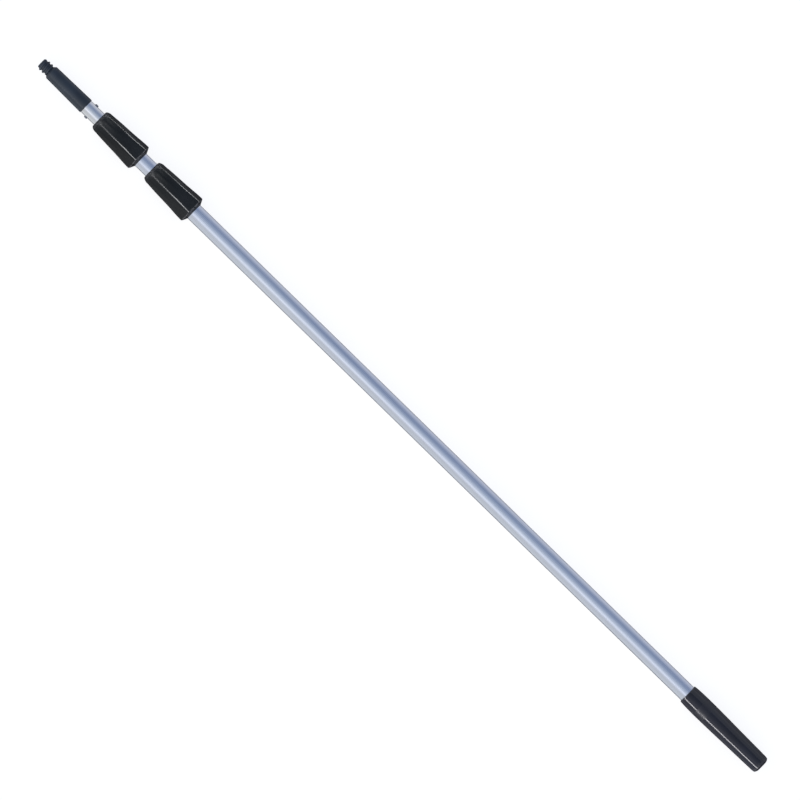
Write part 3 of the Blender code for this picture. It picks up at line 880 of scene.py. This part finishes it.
def make_studio():
    bm = bmesh.new()
    bmesh.ops.create_grid(bm, x_segments=1, y_segments=1, size=FLOOR_SIZE / 2)
    mesh = bpy.data.meshes.new("studio_floor")
    bm.to_mesh(mesh)
    bm.free()
    floor = bpy.data.objects.new("studio_floor", mesh)
    bpy.context.collection.objects.link(floor)
    floor.location.z = FLOOR_Z
    floor.visible_glossy = False
    paint = Surface("studio_floor_paint", 0.9, 0.0, Emission_Strength=0.85)
    paint.shader.inputs["Emission Color"].default_value = (1, 1, 1, 1)
    tone = paint.remap(paint.noise(1.5, (1, 1, 1), 2.0), 0.3, 0.7, 0.0, 1.0)
    paint.set("Base Color", paint.mix(tone, (0.34, 0.34, 0.34, 1), (0.36, 0.36, 0.36, 1)))
    mesh.materials.append(paint.material)
    make_world()
    scene = bpy.context.scene
    scene.view_settings.view_transform = "Standard"
    scene.view_settings.look = "None"

    grip = receivers("grip_piece", ("grip_moulded",))
    cone = receivers("cone_piece", ("tool_cone",))
    collars = receivers("collar_pieces", ("upper_collar_moulded", "lower_collar_moulded"))
    strip_light("grip_strip", math.radians(17), -1, 0.20, 58, (1.0, 0.98, 1.0), grip)
    strip_light("cone_strip", math.radians(26), -1, 0.30, 6, (0.98, 0.98, 1.0), cone)
    strip_light("grip_fill", math.radians(42), 1, 1.60, 13, (0.92, 0.94, 1.0), grip)
    strip_light("front_strip", math.radians(52), -1, 0.26, 104, (0.97, 0.98, 1.0), collars)
    strip_light("edge_strip", math.radians(22), 1, 0.18, 60, (0.96, 0.98, 1.0), collars)


def receivers(name, pieces):
    """The pieces that a light falls on."""
    group = bpy.data.collections.new(name)
    for piece in pieces:
        group.objects.link(bpy.data.objects[piece])
    return group


def make_world():
    """Soft light all round the pole, and a plain pale backdrop for the camera."""
    world = bpy.data.worlds.new("studio_world")
    world.use_nodes = True
    tree = world.node_tree
    direction = tree.nodes.new("ShaderNodeTexCoord")
    split = tree.nodes.new("ShaderNodeSeparateXYZ")
    around = tree.nodes.new("ShaderNodeMath")
    around.operation = "ARCTAN2"
    share = tree.nodes.new("ShaderNodeMapRange")
    share.inputs["From Min"].default_value = -math.pi
    share.inputs["From Max"].default_value = math.pi
    ramp = tree.nodes.new("ShaderNodeValToRGB")
    stops = ramp.color_ramp.elements
    while len(stops) < len(STUDIO_GLOW):
        stops.new(0.5)
    for stop, (degrees, color) in zip(stops, STUDIO_GLOW):
        stop.position = (degrees + 180) / 360
        stop.color = (*color, 1)
    path = tree.nodes.new("ShaderNodeLightPath")
    backdrop = tree.nodes.new("ShaderNodeMix")
    backdrop.data_type = "RGBA"
    first, second = (s for s in backdrop.inputs if s.type == "RGBA")
    second.default_value = (1, 1, 1, 1)
    tree.links.new(direction.outputs["Generated"], split.inputs["Vector"])
    tree.links.new(split.outputs["Z"], around.inputs[0])
    tree.links.new(split.outputs["Y"], around.inputs[1])
    tree.links.new(around.outputs["Value"], share.inputs["Value"])
    tree.links.new(share.outputs["Result"], ramp.inputs["Fac"])
    tree.links.new(ramp.outputs["Color"], first)
    tree.links.new(path.outputs["Is Camera Ray"], backdrop.inputs["Factor"])
    mixed = next(s for s in backdrop.outputs if s.type == "RGBA")
    tree.links.new(mixed, tree.nodes["Background"].inputs["Color"])
    bpy.context.scene.world = world


# ---------------------------------------------------------------------------------------------------------

make_camera()
make_tubes()
make_buttons()
make_cone()
make_clamp("upper", 1.0, MIDDLE_R, INNER_R, "middle_section")
make_clamp("lower", LOWER_SCALE, OUTER_R, MIDDLE_R, "handle_section")
make_grip()
repaint()
make_studio()
